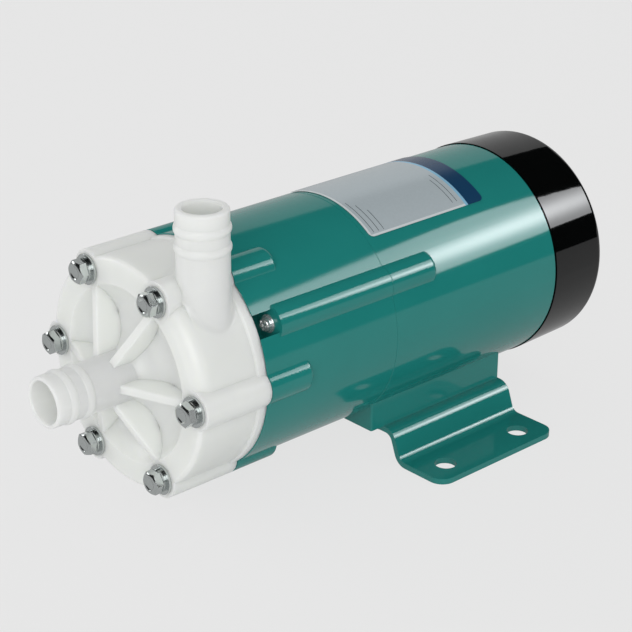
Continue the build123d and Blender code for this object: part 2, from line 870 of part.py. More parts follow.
def foot_plate():
    """Pressed steel foot: hat section with rounded flange corners and four holes."""
    top_z = -pedestal_drop - foot_plate_thickness / 2
    low_z = -shaft_height + foot_plate_thickness / 2
    half = foot_plate_half_width
    middle = FilletPolyline(
        (-half, low_z),
        (-foot_bend_bottom, low_z),
        (-foot_bend_top, top_z),
        (foot_bend_top, top_z),
        (foot_bend_bottom, low_z),
        (half, low_z),
        radius=foot_bend_radius,
    )
    section = trace(middle, line_width=foot_plate_thickness)
    plate = extrude(Plane.YZ * section, foot_plate_half_length, both=True)
    corners = [
        edge for edge in plate.edges().filter_by(Axis.Z) if abs(abs(edge.center().Y) - half) < 0.01
    ]
    plate = fillet(corners, foot_corner_radius)
    for x in (-foot_hole_spacing_x / 2, foot_hole_spacing_x / 2):
        for y in (-foot_hole_spacing_y / 2, foot_hole_spacing_y / 2):
            plate -= Pos(x, y, low_z) * Cylinder(foot_hole_radius, 2 * foot_plate_thickness)
    for x, y in base_screw_spots():
        plate -= Pos(x, y, top_z) * Cylinder(m5_clearance_radius, 2 * foot_plate_thickness)
    return plate


def base_screws():
    """Four hexagon screws driven up through the foot plate into the pedestal."""
    seat_z = -pedestal_drop - foot_plate_thickness - spring_washer_thickness
    grip = foot_plate_thickness + spring_washer_thickness + base_screw_depth
    screws = []
    for x, y in base_screw_spots():
        hexagon = RegularPolygon(m5_head_flats / 2, 6, major_radius=False)
        head = extrude(Pos(x, y, seat_z - m5_head_height) * hexagon, m5_head_height)
        shank = Cylinder(m5_radius, grip, align=(Align.CENTER, Align.CENTER, Align.MIN))
        screws.append(head + Pos(x, y, seat_z) * shank)
    return screws


def base_spring_washers():
    """Spring washers under the heads of the foot plate screws."""
    top_z = -pedestal_drop - foot_plate_thickness
    washers = []
    for x, y in base_screw_spots():
        washer = split_washer(0.0, 0.0, 0.0, spring_washer_radius, m5_radius + slip_fit, spring_washer_thickness)
        washers.append(Pos(x, y, top_z) * Rot(0, 90, 0) * washer)
    return washers


def stator_core():
    """Laminated core with open slots on its bore."""
    core = ring(core_front_x, core_rear_x, bore_radius - slip_fit, core_inner_radius)
    return core - at_angles(slot(slot_width, slot_depth, 0.0), spread(slot_count))


def slot(width, depth, overhang):
    """One straight slot, or the coil side that fills it."""
    root = core_inner_radius + 1.6 if overhang else core_inner_radius - 1.0
    tip = core_inner_radius + depth
    return slab(core_front_x + overhang, core_rear_x - overhang, root, tip, -width / 2, width / 2)


def stator_windings():
    """Coil sides in the slots joined by the two end turns."""
    inner = core_inner_radius + 1.6
    front = ring(core_front_x + end_turn_length, core_front_x + 0.8, end_turn_radius, inner)
    rear = ring(core_rear_x - 0.8, core_rear_x - end_turn_length, end_turn_radius, inner)
    coil = slot(slot_width - 0.3, slot_depth - 0.3, 1.5)
    return front + rear + at_angles(coil, spread(slot_count))


def bearing_outer(front_x):
    """Outer ring of a sealed ball bearing with its two shields."""
    rear_x = front_x - bearing_width
    inner = bearing_outer_radius - bearing_ring
    lip = shaft_radius + bearing_ring + running_gap
    return turned(
        (front_x, bearing_outer_radius),
        (front_x, lip),
        (front_x - bearing_shield, lip),
        (front_x - bearing_shield, inner),
        (rear_x + bearing_shield, inner),
        (rear_x + bearing_shield, lip),
        (rear_x, lip),
        (rear_x, bearing_outer_radius),
    )


def bearing_inner(front_x):
    """Inner ring of a sealed ball bearing, on the shaft."""
    return ring(front_x, front_x - bearing_width, shaft_radius + bearing_ring, shaft_radius + slip_fit)


def bearing_wave_washer():
    """Thin preload washer between the rear bearing and its seat."""
    return ring(rear_seat_x + wave_washer_thickness, rear_seat_x, bearing_outer_radius, bearing_outer_radius - 3.0)


def motor_shaft():
    """Motor shaft with a groove for the fan retaining ring."""
    clip_x = fan_front_x - fan_width
    shaft = rod(shaft_front_x, shaft_rear_x, shaft_radius)
    return shaft - ring(clip_x, clip_x - clip_thickness, shaft_radius, shaft_radius - clip_groove_depth)


def rotor_core():
    """Laminated rotor core on the shaft."""
    return ring(core_front_x, core_rear_x, rotor_radius, shaft_radius + slip_fit)


def rotor_end_rings():
    """Cast aluminium end rings of the rotor cage."""
    front = ring(core_front_x + end_ring_length, core_front_x, end_ring_radius, end_ring_inner_radius)
    rear = ring(core_rear_x, core_rear_x - end_ring_length, end_ring_radius, end_ring_inner_radius)
    return [front, rear]


def cooling_fan():
    """Straight-bladed fan with a backing disc, good for either turning direction."""
    rear_x = fan_front_x - fan_width
    hub = ring(fan_front_x, rear_x, fan_hub_radius, shaft_radius + slip_fit)
    disc = ring(fan_front_x, fan_front_x - fan_disc, fan_radius, shaft_radius + slip_fit)
    half = fan_blade_thickness / 2
    blade = slab(fan_front_x - 0.5, rear_x, fan_hub_radius - 0.5, fan_radius, -half, half)
    return hub + disc + at_angles(blade, spread(fan_blade_count))


def fan_retaining_ring():
    """Open retaining ring in the shaft groove behind the fan."""
    clip_x = fan_front_x - fan_width
    clip = ring(clip_x, clip_x - clip_thickness, shaft_radius + 1.8, shaft_radius - clip_groove_depth)
    return clip - slab(clip_x, clip_x - clip_thickness, 0.0, shaft_radius + 3.0, -2.0, 2.0)


def fan_cover():
    """Moulded fan cover: drafted skirt, rounded rear edge, air slots and screw posts."""
    rear_radius = cover_radius - cover_draft
    profile = Polygon(
        (cover_front_x, cover_radius - cover_wall),
        (cover_front_x, cover_radius),
        (cover_rear_x, rear_radius),
        (cover_rear_x, 0),
        (cover_rear_x + cover_wall, 0),
        (cover_rear_x + cover_wall, rear_radius - cover_wall),
        align=None,
    )
    corner = profile.vertices().sort_by_distance(Vector(cover_rear_x, rear_radius))[0]
    cover = revolve(fillet(corner, cover_edge_radius), axis=Axis.X)
    angles = cover_screw_angles()
    post = rod(shell_rear_x, cover_rear_x + 0.5, cover_post_radius, cover_post_circle_radius)
    cover += at_angles(post, angles)
    hole = rod(shell_rear_x, cover_rear_x, m4_clearance_radius, cover_post_circle_radius)
    cover -= at_angles(hole, angles)
    half = cover_slot_width / 2
    slot_cut = slab(cover_rear_x + cover_wall, cover_rear_x, cover_slot_inner, fan_radius, -half, half)
    return cover - at_angles(slot_cut, spread(cover_slot_count, 10.0))


def fan_cover_screws():
    """Long pan head screws driven from the rear through the cover posts."""
    grip = shell_rear_x - cover_rear_x + shell_end_wall - 2.0
    screw = Rot(0, 0, 180) * pan_screw(0.0, grip, 0.0, 0.0)
    y, z = place(0.0, cover_post_circle_radius)
    return at_angles(Pos(cover_rear_x, y, z) * screw, cover_screw_angles())


def bolt_sets():
    """Casing bolts with their spring washers and flat washers, front to rear."""
    spots = [place(angle, bolt_circle_radius) for angle in spread(bolt_count)]
    flat_seat = casing_front_x
    spring_seat = flat_seat + flat_washer_thickness
    head_seat = spring_seat + spring_washer_thickness
    length = head_seat - bracket_front_x + m5_thread_depth - 1.0
    bolts = [hex_screw(head_seat, length, y, z) for y, z in spots]
    inner = m5_radius + slip_fit
    springs = [
        split_washer(spring_seat, y, z, spring_washer_radius, inner, spring_washer_thickness) for y, z in spots
    ]
    flats = [
        rod(spring_seat, flat_seat, flat_washer_radius, y, z) - rod(spring_seat, flat_seat, inner, y, z)
        for y, z in spots
    ]
    return bolts, springs, flats


def tie_screw_sets():
    """Long screws that tie the bracket to the shell, with their washers."""
    head_seat = tie_seat_x + m4_washer_thickness
    length = head_seat - seam_x + tie_screw_grip
    screws = []
    washers = []
    for angle in spread(tie_screw_count, tie_screw_start_angle):
        y, z = place(angle, tie_screw_circle_radius)
        screws.append(pan_screw(head_seat, length, y, z))
        washer = rod(head_seat, tie_seat_x, m4_washer_radius, y, z)
        washers.append(washer - rod(head_seat, tie_seat_x, m4_radius + slip_fit, y, z))
    return screws, washers


def build():
    """Every piece of the pump by its name, about the shaft axis."""
    bolts, springs, flats = bolt_sets()
    tie_screws, tie_washers = tie_screw_sets()
    return {
        "front_casing": front_casing(),
        "mouth_ring": mouth_ring(),
        "casing_o_ring": casing_o_ring(),
        "rear_casing": rear_casing(),
        "spindle": spindle(),
        "front_thrust_washer": thrust_washer(hub_rear_x),
        "rear_thrust_washer": thrust_washer(can_boss_front_x + thrust_washer_thickness),
        "casing_bolts": bolts,
        "casing_spring_washers": springs,
        "casing_flat_washers": flats,
        "front_bracket": front_bracket(),
        "bracket_screws": tie_screws,
        "bracket_screw_washers": tie_washers,
        "motor_shell": motor_shell(),
        "cable_bush": cable_bush(),
        "base_plate": foot_plate(),
        "base_screws": base_screws(),
        "base_spring_washers": base_spring_washers(),
        "stator_core": stator_core(),
        "stator_windings": stator_windings(),
        "front_bearing_outer": bearing_outer(front_bearing_x),
        "rear_bearing_outer": bearing_outer(rear_bearing_x),
        "bearing_wave_washer": bearing_wave_washer(),
        "fan_cover": fan_cover(),
        "fan_cover_screws": fan_cover_screws(),
        "impeller": impeller(),
        "impeller_bush": impeller_bush(),
        "magnet_capsule": magnet_capsule(),
        "capsule_cap": capsule_cap(),
        "driven_magnet": driven_magnet(),
        "motor_shaft": motor_shaft(),
        "rotor_core": rotor_core(),
        "rotor_end_rings": rotor_end_rings(),
        "drive_magnet_yoke": drive_magnet_yoke(),
        "drive_magnets": drive_magnets(),
        "yoke_set_screws": yoke_set_screws(),
        "front_bearing_inner": bearing_inner(front_bearing_x),
        "rear_bearing_inner": bearing_inner(rear_bearing_x),
        "cooling_fan": cooling_fan(),
        "fan_retaining_ring": fan_retaining_ring(),
    }


def write_parts():
    """Lift each piece to the shaft height and write it to its own file."""
    os.makedirs("parts", exist_ok=True)
    for name, piece in build().items():
        solids = [solid for item in (piece if isinstance(piece, list) else [piece]) for solid in item.solids()]
        lifted = [Pos(0, 0, shaft_height) * solid for solid in solids]
        shape = lifted[0] if len(lifted) == 1 else Compound(children=lifted)
        export_step(shape, os.path.join("parts", name + ".step"))


write_parts()
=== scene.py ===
import math

import bmesh
import bpy
import numpy as np
from mathutils import Matrix, Vector


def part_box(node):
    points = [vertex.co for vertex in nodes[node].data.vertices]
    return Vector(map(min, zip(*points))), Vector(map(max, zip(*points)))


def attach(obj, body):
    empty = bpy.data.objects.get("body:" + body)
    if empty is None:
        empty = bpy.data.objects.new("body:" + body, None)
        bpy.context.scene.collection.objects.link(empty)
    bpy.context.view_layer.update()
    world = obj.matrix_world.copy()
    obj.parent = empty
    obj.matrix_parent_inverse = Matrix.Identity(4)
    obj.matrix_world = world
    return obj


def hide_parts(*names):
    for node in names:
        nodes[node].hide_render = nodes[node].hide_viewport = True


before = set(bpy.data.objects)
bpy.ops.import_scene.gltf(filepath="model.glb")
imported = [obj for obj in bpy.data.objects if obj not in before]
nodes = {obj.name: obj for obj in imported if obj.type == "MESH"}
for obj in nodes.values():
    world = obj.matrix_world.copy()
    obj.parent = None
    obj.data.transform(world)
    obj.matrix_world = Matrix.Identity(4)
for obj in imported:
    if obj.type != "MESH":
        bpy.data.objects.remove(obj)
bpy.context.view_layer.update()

# Camera
# A long lens looks down on the suction side of the pump, from the right of someone facing
# the suction pipe. Place, aim and focal length follow the photograph.
camera_place = Vector((0.4832, 0.4850, 0.3430))
camera_aim = Vector((0.0402, 0.0, 0.0529))
camera_roll = math.radians(0.25)
focal_length_mm = 104.6
sensor_width_mm = 36.0
camera_data = bpy.data.cameras.new("camera")
camera_data.lens = focal_length_mm
camera_data.sensor_width = sensor_width_mm
camera = bpy.data.objects.new("camera", camera_data)
turn = (camera_aim - camera_place).to_track_quat("-Z", "Y").to_matrix().to_4x4()
camera.matrix_world = Matrix.Translation(camera_place) @ turn @ Matrix.Rotation(camera_roll, 4, "Z")
bpy.context.scene.collection.objects.link(camera)
bpy.context.scene.camera = camera
bpy.context.scene.view_settings.view_transform = "Standard"

# Paper floor
# A round table of matt grey-white paper under the pump. It is seen as one even pale tone, and
# the gloss parts mirror it as a darker grey, up to the table's edge.
paper_hex = "e7e7e7"
paper_in_lamplight_hex = "f6f6f6"
even_share = 0.92  # the rest takes the lamps' light and the pump's shadow
floor_radius = 1.32
floor_mirrored = 0.58
floor_rim_points = 96


def linear(hex_colour):
    """sRGB hex colour as linear RGBA: each channel through the sRGB decoding curve."""
    channels = np.array([int(hex_colour[i:i + 2], 16) for i in (0, 2, 4)]) / 255
    curved = np.where(channels <= 0.04045, channels / 12.92, ((channels + 0.055) / 1.055) ** 2.4)
    return (*curved.tolist(), 1.0)


def add(tree, kind, inputs=None, **settings):
    """Add one node. Settings are its properties. Inputs are its sockets, each given as a value,
    as the socket that feeds it, or as a node that feeds it from its first output."""
    made = tree.nodes.new(kind)
    for name, value in settings.items():
        setattr(made, name, value)
    for name, value in (inputs or {}).items():
        if isinstance(value, bpy.types.Node):
            value = value.outputs[0]
        if isinstance(value, bpy.types.NodeSocket):
            tree.links.new(value, made.inputs[name])
        else:
            made.inputs[name].default_value = value
    return made


def empty_material(name):
    """Material with its node tree cleared, and that tree."""
    material = bpy.data.materials.new(name)
    material.use_nodes = True
    material.node_tree.nodes.clear()
    return material, material.node_tree


def matt_paper(name, mirrored):
    """Paper that the camera sees mostly as its own even tone. Mirror rays see that tone darker,
    by a factor, and all other rays see matt paper in the lamps' light."""
    material, tree = empty_material(name)
    rays = add(tree, "ShaderNodeLightPath").outputs
    mirror_ray = rays["Is Glossy Ray"]
    to_camera = {0: rays["Is Camera Ray"], 1: rays["Is Transmission Ray"]}
    seen = add(tree, "ShaderNodeMath", to_camera, operation="MAXIMUM")
    in_mirror = add(tree, "ShaderNodeMath", {0: mirror_ray, 1: mirrored}, operation="MULTIPLY")
    strength = add(tree, "ShaderNodeMath", {0: seen, 1: in_mirror}, operation="MAXIMUM")
    either = add(tree, "ShaderNodeMath", {0: seen, 1: mirror_ray}, operation="MAXIMUM")
    shown_share = add(tree, "ShaderNodeMath", {0: either, 1: even_share}, operation="MULTIPLY")
    lit = add(tree, "ShaderNodeBsdfDiffuse", {"Color": linear(paper_in_lamplight_hex)})
    shown = add(tree, "ShaderNodeEmission", {"Color": linear(paper_hex), "Strength": strength})
    mixed = add(tree, "ShaderNodeMixShader", {0: shown_share, 1: lit, 2: shown})
    add(tree, "ShaderNodeOutputMaterial", {"Surface": mixed})
    return material


def stage_piece(name, points, faces, material):
    """A smooth sheet that isn't part of the pump."""
    mesh = bpy.data.meshes.new(name)
    mesh.from_pydata(np.reshape(points, (-1, 3)).tolist(), [], faces)
    mesh.materials.append(material)
    mesh.shade_smooth()
    made = bpy.data.objects.new(name, mesh)
    bpy.context.scene.collection.objects.link(made)
    return made


angles = np.linspace(0, 2 * np.pi, floor_rim_points, endpoint=False)
rim = floor_radius * np.stack([np.cos(angles), np.sin(angles), np.zeros(floor_rim_points)], axis=1)
floor_paper = matt_paper("matt_paper_floor", floor_mirrored)
stage_piece("paper_floor", rim, [list(range(floor_rim_points))], floor_paper)

# Paper backdrop
# A second sheet of the same paper, hung in a curve behind the pump with its foot on the
# floor. The top of the motor mirrors it, a little lighter than the floor.
backdrop_reach = 1.25
backdrop_height = 1.04
backdrop_width = 2.2
backdrop_bend = 0.30
backdrop_bend_rows = 16
backdrop_lift = 0.001
backdrop_heading = math.radians(-132.4)
backdrop_mirrored = 0.66


def grid_faces(rows, columns, wrap):
    """Quads of a grid of points; with wrap the last column joins the first."""
    index = np.arange(rows * columns).reshape(rows, columns)
    if wrap:
        index = np.hstack([index, index[:, :1]])
    corners = [index[:-1, :-1], index[:-1, 1:], index[1:, 1:], index[1:, :-1]]
    return np.stack(corners, axis=-1).reshape(-1, 4)


def hung_sheet():
    """Grid of the sheet: the quarter circle of its bend, r sin a outwards and r - r cos a up,
    then straight up to its top edge, carried sideways over its width."""
    bend = np.linspace(0, np.pi / 2, backdrop_bend_rows)
    out = np.concatenate([backdrop_reach - backdrop_bend + backdrop_bend * np.sin(bend), [backdrop_reach]])
    bend_up = backdrop_bend - backdrop_bend * np.cos(bend) + backdrop_lift
    up = np.concatenate([bend_up, [backdrop_height]])
    side = np.linspace(-backdrop_width / 2, backdrop_width / 2, 2)
    cos, sin = math.cos(backdrop_heading), math.sin(backdrop_heading)
    x = out[:, None] * cos - side * sin
    y = out[:, None] * sin + side * cos
    return np.stack([x, y, np.broadcast_to(up[:, None], x.shape)], axis=2)


points = hung_sheet()
faces = grid_faces(*points.shape[:2], wrap=False).tolist()
stage_piece("paper_backdrop", points, faces, matt_paper("matt_paper_backdrop", backdrop_mirrored))

# The room
# Dark round the table, as a studio is with its ceiling lamps off. The camera sees the paper's
# tone there, and matt surfaces are lit from all sides by an even glow.
room_glow = 0.63
dark_room_hex = "121414"

room = bpy.data.worlds.new("studio_room")
room.use_nodes = True
bpy.context.scene.world = room
tree = room.node_tree
tree.nodes.clear()
rays = add(tree, "ShaderNodeLightPath").outputs
glow = add(tree, "ShaderNodeBackground", {"Color": linear("ffffff"), "Strength": room_glow})
mirrored = add(tree, "ShaderNodeBackground", {"Color": linear(dark_room_hex), "Strength": 1.0})
seen = add(tree, "ShaderNodeBackground", {"Color": linear(paper_hex), "Strength": 1.0})
dark = add(tree, "ShaderNodeMixShader", {0: rays["Is Glossy Ray"], 1: glow, 2: mirrored})
to_camera = {0: rays["Is Camera Ray"], 1: rays["Is Transmission Ray"]}
through = add(tree, "ShaderNodeMath", to_camera, operation="MAXIMUM")
all_rays = add(tree, "ShaderNodeMixShader", {0: through, 1: dark, 2: seen})
add(tree, "ShaderNodeOutputWorld", {"Surface": all_rays})

# Lamps
# A cloth-fronted soft box behind to the right draws the band along the motor. Its bulb shows
# through the cloth as a broad glow, a little below its middle. Two broad weak lamps in front
# and to the left model the white casing.
box_middle = Vector((-0.7656, 0.6505, 0.6074))
box_aim = Vector((0.0544, 0.1005, 0.1374))
box_half_width = 0.26
box_half_height = 0.2725
box_corner_power = 0.25
box_rim_step_degrees = 6
cloth_hex = "fbfdff"
cloth_strength = 4.6
bulb_strength = 10.5
bulb_drop = 0.045
bulb_glow_height = 0.112
bulb_glow_stretch = 2.0
dimmed_share = 0.14
pump_middle = Vector((0.02, 0.0, 0.06))

# The glow falls off as exp(-(distance / height)^2), with sideways distances halved
cloth, tree = empty_material("lamp_cloth")
place = add(tree, "ShaderNodeTexCoord").outputs["Object"]
squeeze = {0: place, 1: (1 / bulb_glow_stretch, 1.0, 1.0)}
squeezed = add(tree, "ShaderNodeVectorMath", squeeze, operation="MULTIPLY")
to_bulb = {0: squeezed, 1: (0.0, -bulb_drop, 0.0)}
from_bulb = add(tree, "ShaderNodeVectorMath", to_bulb, operation="DISTANCE").outputs["Value"]
glow_reach = add(tree, "ShaderNodeMath", {0: from_bulb, 1: bulb_glow_height}, operation="DIVIDE")
square = add(tree, "ShaderNodeMath", {0: glow_reach, 1: 2.0}, operation="POWER")
negative = add(tree, "ShaderNodeMath", {0: square, 1: -1.0}, operation="MULTIPLY")
fade = add(tree, "ShaderNodeMath", {0: negative}, operation="EXPONENT")
both = {0: fade, 1: bulb_strength, 2: cloth_strength}
bright = add(tree, "ShaderNodeMath", both, operation="MULTIPLY_ADD")

# The first mirror bounce, up to a depth of 1, sees the cloth in full. Matt faces and a mirror
# in a mirror get a small share of it.
rays = add(tree, "ShaderNodeLightPath").outputs
first_bounce = add(tree, "ShaderNodeMath", {0: rays["Glossy Depth"], 1: 1.5}, operation="LESS_THAN")
in_mirror = {0: rays["Is Glossy Ray"], 1: first_bounce}
mirrored_once = add(tree, "ShaderNodeMath", in_mirror, operation="MULTIPLY")
shares = {0: mirrored_once, 1: 1.0 - dimmed_share, 2: dimmed_share}
ray_share = add(tree, "ShaderNodeMath", shares, operation="MULTIPLY_ADD")
back = add(tree, "ShaderNodeNewGeometry").outputs["Backfacing"]
front_only = add(tree, "ShaderNodeMath", {0: 1.0, 1: back}, operation="SUBTRACT")
to_ray = add(tree, "ShaderNodeMath", {0: bright, 1: ray_share}, operation="MULTIPLY")
strength = add(tree, "ShaderNodeMath", {0: to_ray, 1: front_only}, operation="MULTIPLY")
glow = add(tree, "ShaderNodeEmission", {"Color": linear(cloth_hex), "Strength": strength})
add(tree, "ShaderNodeOutputMaterial", {"Surface": glow})

# Its outline is a circle whose cosine and sine are raised to a low power, which squares it
rim_angles = np.radians(np.arange(0, 360, box_rim_step_degrees) + box_rim_step_degrees / 2)
rounded = np.stack([np.cos(rim_angles), np.sin(rim_angles)], axis=1)
rounded = np.sign(rounded) * np.abs(rounded) ** box_corner_power
outline = np.column_stack([rounded * (box_half_width, box_half_height), np.zeros(len(rim_angles))])
soft_box = stage_piece("soft_box_right", outline, [list(range(len(rim_angles)))], cloth)
soft_box.location = box_middle
soft_box.rotation_euler = (box_aim - box_middle).to_track_quat("Z", "Y").to_euler()
soft_box.visible_camera = False


def broad_lamp(name, place, width, height, watts):
    """Rectangular lamp at a place, facing the pump."""
    data = bpy.data.lights.new(name, "AREA")
    data.shape = "RECTANGLE"
    data.size = width
    data.size_y = height
    data.energy = watts
    lamp = bpy.data.objects.new(name, data)
    lamp.location = place
    lamp.rotation_euler = (pump_middle - Vector(place)).to_track_quat("-Z", "Y").to_euler()
    bpy.context.scene.collection.objects.link(lamp)


broad_lamp("broad_lamp_front", place=(1.24, 0.97, 0.70), width=1.2, height=0.9, watts=8.8)
broad_lamp("broad_lamp_left", place=(0.80, -1.20, 0.40), width=0.5, height=0.4, watts=1.9)

# Foot plate
# A strip of steel pressed to a hat section, punched for four bolts and painted with the
# motor in gloss sea-green enamel. The thick coat is smooth and mirrors what is round it.
enamel_hex = "1d7d77"
enamel_light_hex = "22837d"
enamel_drift_mm = 25.0


def dress(material, *names):
    """Give CAD nodes one material in every slot."""
    for name in names:
        slots = nodes[name].data.materials
        for i in range(len(slots)):
            slots[i] = material


def skin(name, dark_hex, light_hex, drift_mm, grain_mm, depth_mm, roughness, more=None):
    """Solid-coloured material: two close tones in clouds of one size, a bump whose grain has a
    size and a depth, and more shader inputs where the material needs them."""
    material, tree = empty_material(name)
    place = add(tree, "ShaderNodeTexCoord").outputs["Object"]
    clouds = add(tree, "ShaderNodeTexNoise", {"Vector": place, "Scale": 1000 / drift_mm, "Detail": 2.0})
    tones = {0: clouds, 6: linear(dark_hex), 7: linear(light_hex)}
    colour = add(tree, "ShaderNodeMix", tones, data_type="RGBA").outputs[2]
    grain = add(tree, "ShaderNodeTexNoise", {"Vector": place, "Scale": 1000 / grain_mm, "Detail": 3.0})
    ripple = add(tree, "ShaderNodeBump", {"Strength": 1.0, "Distance": depth_mm / 1000, "Height": grain})
    surface = {"Base Color": colour, "Roughness": roughness, "Normal": ripple}
    shader = add(tree, "ShaderNodeBsdfPrincipled", {**surface, **(more or {})})
    add(tree, "ShaderNodeOutputMaterial", {"Surface": shader})
    return material


pressed_enamel = skin(
    "gloss_enamel_on_pressed_steel", enamel_hex, enamel_light_hex,
    drift_mm=enamel_drift_mm, grain_mm=2.0, depth_mm=0.004, roughness=0.10,
)
dress(pressed_enamel, "base_plate")

# Foot plate screws
# Hexagon screws and spring washers in bright stainless steel, cold headed, driven up from
# below. Their rounded edges catch light, and fine die marks break up what their faces mirror.
stainless_hex = "ced3d2"
marks_per_metre = 2200.0  # one about every 0.45 mm
mark_depth = 0.00001
worn_edge_radius = 0.0003

stainless, tree = empty_material("bright_stainless_steel")
place = add(tree, "ShaderNodeTexCoord").outputs["Object"]
marks = add(tree, "ShaderNodeTexNoise", {"Vector": place, "Scale": marks_per_metre, "Detail": 2.0})
rough = add(tree, "ShaderNodeMapRange", {"Value": marks, "To Min": 0.12, "To Max": 0.30})
worn_edge = add(tree, "ShaderNodeBevel", {"Radius": worn_edge_radius}, samples=4)
pit = {"Strength": 1.0, "Distance": mark_depth, "Height": marks, "Normal": worn_edge}
pits = add(tree, "ShaderNodeBump", pit)
surface = {"Base Color": linear(stainless_hex), "Metallic": 1.0, "Roughness": rough, "Normal": pits}
shader = add(tree, "ShaderNodeBsdfPrincipled", surface)
add(tree, "ShaderNodeOutputMaterial", {"Surface": shader})
dress(stainless, "base_screws", "base_spring_washers")

# Motor shell
# Cast aluminium, turned outside, with a smooth coat of the same enamel. The pedestal and
# the ends of the tie screw bosses are part of it.
turned_enamel = skin(
    "gloss_enamel_on_turned_casting", enamel_hex, enamel_light_hex,
    drift_mm=enamel_drift_mm, grain_mm=3.0, depth_mm=0.004, roughness=0.09,
)
dress(turned_enamel, "motor_shell")

# Cable bush
# Moulded black nitrile rubber, dull, with a fine grain. It is pushed into its hole in the
# shell.
rubber = skin(
    "black_nitrile_rubber", "0b0b0b", "121212",
    drift_mm=6.0, grain_mm=0.5, depth_mm=0.010, roughness=0.55, more={"IOR": 1.52},
)
dress(rubber, "cable_bush")

# Stator core and rotor core
# Stacks of half-millimetre electrical steel sheets: the sheets' edges show as fine lines
# round the stack, bluish grey where they were annealed.
sheet_scale = 628.0  # the texture's wave is 0.314 m long at a scale of 1, so 0.5 mm here
sheet_edge_depth = 0.00005

laminations, tree = empty_material("electrical_steel_laminations")
place = add(tree, "ShaderNodeTexCoord").outputs["Object"]
wave = {"Vector": place, "Scale": sheet_scale, "Distortion": 0.4}
sheets = add(tree, "ShaderNodeTexWave", wave, bands_direction="X").outputs["Fac"]
tones = {0: sheets, 6: linear("3c3e44"), 7: linear("6a6d75")}
colour = add(tree, "ShaderNodeMix", tones, data_type="RGBA").outputs[2]
steps = add(tree, "ShaderNodeBump", {"Strength": 0.7, "Distance": sheet_edge_depth, "Height": sheets})
surface = {"Base Color": colour, "Metallic": 0.9, "Roughness": 0.42, "Normal": steps}
shader = add(tree, "ShaderNodeBsdfPrincipled", surface)
add(tree, "ShaderNodeOutputMaterial", {"Surface": shader})
dress(laminations, "stator_core", "rotor_core")

# Stator windings
# Enamelled copper wire, 0.8 mm thick, wound round the shaft's line at both ends and dipped
# in clear varnish. Its colour holds painted light: dark brown in the grooves between the wires
# is painted shade, and light copper over the round of each wire is a painted sheen.
shaft_low, shaft_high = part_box("motor_shaft")
shaft_height = (shaft_low[2] + shaft_high[2]) / 2
wire_scale = 393.0  # a wave of 0.8 mm
wire_round_depth = 0.0003

windings, tree = empty_material("enamelled_copper_wire")
place = add(tree, "ShaderNodeTexCoord").outputs["Object"]
centring = {0: place, 1: (0.0, 0.0, shaft_height)}
from_shaft = add(tree, "ShaderNodeVectorMath", centring, operation="SUBTRACT")
wave = {"Vector": from_shaft, "Scale": wire_scale, "Distortion": 1.2, "Detail": 2.0, "Detail Scale": 60.0}
wires = add(tree, "ShaderNodeTexWave", wave, wave_type="RINGS", rings_direction="X").outputs["Fac"]
# Painted shade and sheen: the dark tone lies in the grooves between wires, the light one on their rounds
tones = {0: wires, 6: linear("5a2a12"), 7: linear("b5683a")}
colour = add(tree, "ShaderNodeMix", tones, data_type="RGBA").outputs[2]
round_wire = add(tree, "ShaderNodeBump", {"Strength": 1.0, "Distance": wire_round_depth, "Height": wires})
surface = {"Base Color": colour, "Metallic": 0.6, "Roughness": 0.28, "Coat Weight": 0.5, "Normal": round_wire}
shader = add(tree, "ShaderNodeBsdfPrincipled", surface)
add(tree, "ShaderNodeOutputMaterial", {"Surface": shader})
dress(windings, "stator_windings")

# Bearings, shaft and preload washer
# Ground bearing steel, nearly mirror bright, with the faint marks of the grinding wheel. The
# inner rings sit on the shaft, the outer ones in the bracket and the shell.
ground_steel = skin(
    "ground_bearing_steel", "9a9b9d", "b2b3b4",
    drift_mm=4.0, grain_mm=0.15, depth_mm=0.0012, roughness=0.20, more={"Metallic": 1.0},
)
dress(ground_steel, "front_bearing_outer", "front_bearing_inner", "rear_bearing_outer", "rear_bearing_inner")
dress(ground_steel, "bearing_wave_washer", "motor_shaft", "fan_retaining_ring")

# Rotor end rings
# Aluminium cast under pressure into the rotor's slots, dull and slightly grainy. The rings
# join the bars of the cage at both ends of the stack.
cast_aluminium = skin(
    "pressure_cast_aluminium", "8f9092", "b4b5b7",
    drift_mm=2.0, grain_mm=0.4, depth_mm=0.020, roughness=0.45, more={"Metallic": 1.0},
)
dress(cast_aluminium, "rotor_end_rings")

# Cooling fan
# Moulded black nylon with a little glass fibre, so it is duller than the cover. It sits on
# the rear end of the shaft, held by a retaining ring.
filled_nylon = skin(
    "glass_filled_black_nylon", "0d0e0e", "171818",
    drift_mm=3.0, grain_mm=0.3, depth_mm=0.008, roughness=0.42, more={"IOR": 1.53},
)
dress(filled_nylon, "cooling_fan")

# Fan cover
# Moulded black ABS with a mirror-like polished mould face that sinks very slightly over the
# ribs inside. Three long pan head screws hold it.
polished_abs = skin(
    "polished_black_abs", "040505", "060707",
    drift_mm=12.0, grain_mm=14.0, depth_mm=0.030, roughness=0.05, more={"IOR": 1.48},
)
dress(polished_abs, "fan_cover")
dress(stainless, "fan_cover_screws")

# Front bracket
# Cast aluminium, bolted between the shell and the casing. It isn't turned, and the fine grain
# of the casting under its enamel frays the edges of reflections.
grained_enamel = skin(
    "gloss_enamel_on_cast_grain", enamel_hex, enamel_light_hex,
    drift_mm=enamel_drift_mm, grain_mm=0.7, depth_mm=0.010, roughness=0.10,
)
dress(grained_enamel, "front_bracket")

